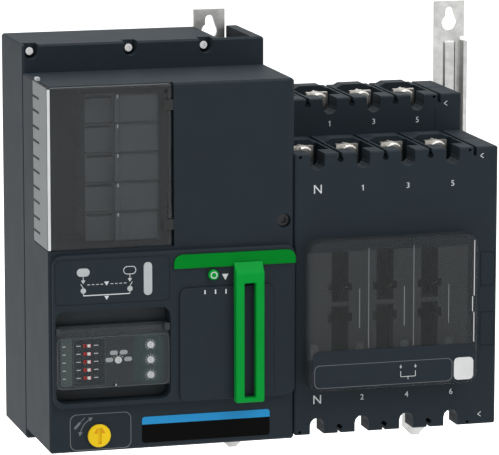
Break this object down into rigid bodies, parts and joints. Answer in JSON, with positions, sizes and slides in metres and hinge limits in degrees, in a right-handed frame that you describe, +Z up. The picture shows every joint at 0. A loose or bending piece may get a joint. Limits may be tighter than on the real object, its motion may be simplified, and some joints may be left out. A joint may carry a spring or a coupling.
{
  "type": "automatic transfer switch",
  "caption": "Panel-mounted automatic transfer switch: control module with slider, settings flap and test selector beside two stacked multi-pole switches with geared contact rotors.",
  "frame": {"origin": "on the mounting plane, midway between the two keyholes across and at mid-height of the control module", "axes": "+X to the right seen from the front, +Y into the panel, +Z up"},
  "size_m": [0.3708, 0.1753, 0.347],
  "materials": {
    "dark_moulding": "fine satin grain",
    "clear_moulding": "clear polycarbonate, glossy",
    "green_moulding": "satin",
    "yellow_moulding": "satin",
    "white_moulding": "satin",
    "red_moulding": "satin",
    "grey_moulding": "satin",
    "galvanised_steel": "galvanised",
    "plated_copper": "tin plated",
    "dark_steel": "oiled",
    "circuit_board": "solder mask"
  },
  "bodies": {
    "housing": {"rear_housing": "dark_moulding", "front_cover": "dark_moulding", "switch_1_front_case": "dark_moulding", "switch_1_rear_case": "dark_moulding", "switch_2_front_case": "dark_moulding", "switch_2_rear_case": "dark_moulding", "window_cover": "clear_moulding", "green_band": "green_moulding", "dip_switch_bank": "red_moulding", "function_module_1": "grey_moulding", "function_module_2": "grey_moulding", "function_module_3": "grey_moulding", "function_module_4": "grey_moulding", "function_module_5": "grey_moulding", "status_window": "grey_moulding", "settings_body": "grey_moulding", "left_strip": "galvanised_steel", "right_strip": "galvanised_steel", "gear_plate": "galvanised_steel", "line_terminal_1_n": "plated_copper", "line_terminal_1_a": "plated_copper", "line_terminal_1_b": "plated_copper", "line_terminal_1_c": "plated_copper", "line_terminal_2_n": "plated_copper", "line_terminal_2_a": "plated_copper", "line_terminal_2_b": "plated_copper", "line_terminal_2_c": "plated_copper", "load_bar_n": "plated_copper", "load_bar_a": "plated_copper", "load_bar_b": "plated_copper", "load_bar_c": "plated_copper", "ledge_screw_1": "dark_steel", "ledge_screw_2": "dark_steel", "ledge_screw_3": "dark_steel", "front_screw": "dark_steel", "module_cover_pin": "dark_steel", "drive_motor": "dark_steel", "supply_transformer": "dark_steel", "control_board": "circuit_board"},
    "module_cover": {"module_cover": "clear_moulding"},
    "settings_flap": {"settings_flap": "clear_moulding"},
    "dip_slider_1": {"dip_slider_1": "white_moulding"},
    "dip_slider_2": {"dip_slider_2": "white_moulding"},
    "dip_slider_3": {"dip_slider_3": "white_moulding"},
    "dip_slider_4": {"dip_slider_4": "white_moulding"},
    "dip_slider_5": {"dip_slider_5": "white_moulding"},
    "mode_dial": {"mode_dial": "white_moulding"},
    "setting_dial_1": {"setting_dial_1": "white_moulding"},
    "setting_dial_2": {"setting_dial_2": "white_moulding"},
    "setting_dial_3": {"setting_dial_3": "white_moulding"},
    "test_selector": {"test_selector": "yellow_moulding"},
    "open_button": {"open_button": "green_moulding"},
    "mode_slider": {"mode_slider": "dark_moulding", "mode_handle": "green_moulding"},
    "drive_gear": {"drive_gear": "dark_steel"},
    "contact_rotor_1": {"contact_rotor_1": "plated_copper", "rotor_gear_1": "dark_steel"},
    "contact_rotor_2": {"contact_rotor_2": "plated_copper", "rotor_gear_2": "dark_steel"},
    "motor_pinion": {"motor_pinion": "dark_steel"}
  },
  "joints": [
    {"name": "module_cover_swing", "type": "hinge", "parent": "housing", "child": "module_cover", "pos_m": [-0.1693, -0.1565, 0.07], "axis": [0, 0, 1], "range_deg": [0, 90]},
    {"name": "settings_flap_lift", "type": "hinge", "parent": "housing", "child": "settings_flap", "pos_m": [-0.2142, -0.1632, -0.0504], "axis": [-1, 0, 0], "range_deg": [0, 100]},
    {"name": "dip_slider_1_slide", "type": "slide", "parent": "housing", "child": "dip_slider_1", "axis": [-1, 0, 0], "range_m": [0, 0.002]},
    {"name": "dip_slider_2_slide", "type": "slide", "parent": "housing", "child": "dip_slider_2", "axis": [-1, 0, 0], "range_m": [0, 0.002]},
    {"name": "dip_slider_3_slide", "type": "slide", "parent": "housing", "child": "dip_slider_3", "axis": [-1, 0, 0], "range_m": [0, 0.002]},
    {"name": "dip_slider_4_slide", "type": "slide", "parent": "housing", "child": "dip_slider_4", "axis": [-1, 0, 0], "range_m": [0, 0.002]},
    {"name": "dip_slider_5_slide", "type": "slide", "parent": "housing", "child": "dip_slider_5", "axis": [-1, 0, 0], "range_m": [0, 0.002]},
    {"name": "mode_dial_turn", "type": "hinge", "parent": "housing", "child": "mode_dial", "pos_m": [-0.2098, -0.161, -0.0741], "axis": [0, -1, 0], "range_deg": [-60, 60]},
    {"name": "setting_dial_1_turn", "type": "hinge", "parent": "housing", "child": "setting_dial_1", "pos_m": [-0.1854, -0.161, -0.064], "axis": [0, -1, 0], "range_deg": [-150, 150]},
    {"name": "setting_dial_2_turn", "type": "hinge", "parent": "housing", "child": "setting_dial_2", "pos_m": [-0.1854, -0.161, -0.07525], "axis": [0, -1, 0], "range_deg": [-150, 150]},
    {"name": "setting_dial_3_turn", "type": "hinge", "parent": "housing", "child": "setting_dial_3", "pos_m": [-0.1854, -0.161, -0.0865], "axis": [0, -1, 0], "range_deg": [-150, 150]},
    {"name": "test_selector_turn", "type": "hinge", "parent": "housing", "child": "test_selector", "pos_m": [-0.2244, -0.159, -0.1302], "axis": [0, 1, 0], "range_deg": [-90, 0]},
    {"name": "open_button_press", "type": "slide", "parent": "housing", "child": "open_button", "axis": [0, 1, 0], "range_m": [0, 0.003], "stiffness_N_per_m": 400},
    {"name": "mode_slider_slide", "type": "slide", "parent": "housing", "child": "mode_slider", "axis": [1, 0, 0], "range_m": [0, 0.016]},
    {"name": "drive_gear_turn", "type": "hinge", "parent": "housing", "child": "drive_gear", "pos_m": [-0.084, -0.0784, -0.032], "axis": [-1, 0, 0], "range_deg": [0, 90]},
    {"name": "contact_rotor_1_turn", "type": "hinge", "parent": "housing", "child": "contact_rotor_1", "pos_m": [-0.0747, -0.11765, -0.032], "axis": [1, 0, 0], "range_deg": [0, 90]},
    {"name": "contact_rotor_2_turn", "type": "hinge", "parent": "housing", "child": "contact_rotor_2", "pos_m": [-0.0747, -0.03915, -0.032], "axis": [1, 0, 0], "range_deg": [0, 90]},
    {"name": "motor_pinion_turn", "type": "hinge", "parent": "housing", "child": "motor_pinion", "pos_m": [-0.084, -0.0784, -0.06144], "axis": [1, 0, 0], "range_deg": [0, 180]}
  ],
  "couplings": [
    {"joint": "contact_rotor_1_turn", "follows": "drive_gear_turn", "ratio": 1},
    {"joint": "contact_rotor_2_turn", "follows": "drive_gear_turn", "ratio": 1},
    {"joint": "motor_pinion_turn", "follows": "drive_gear_turn", "ratio": 2}
  ]
}
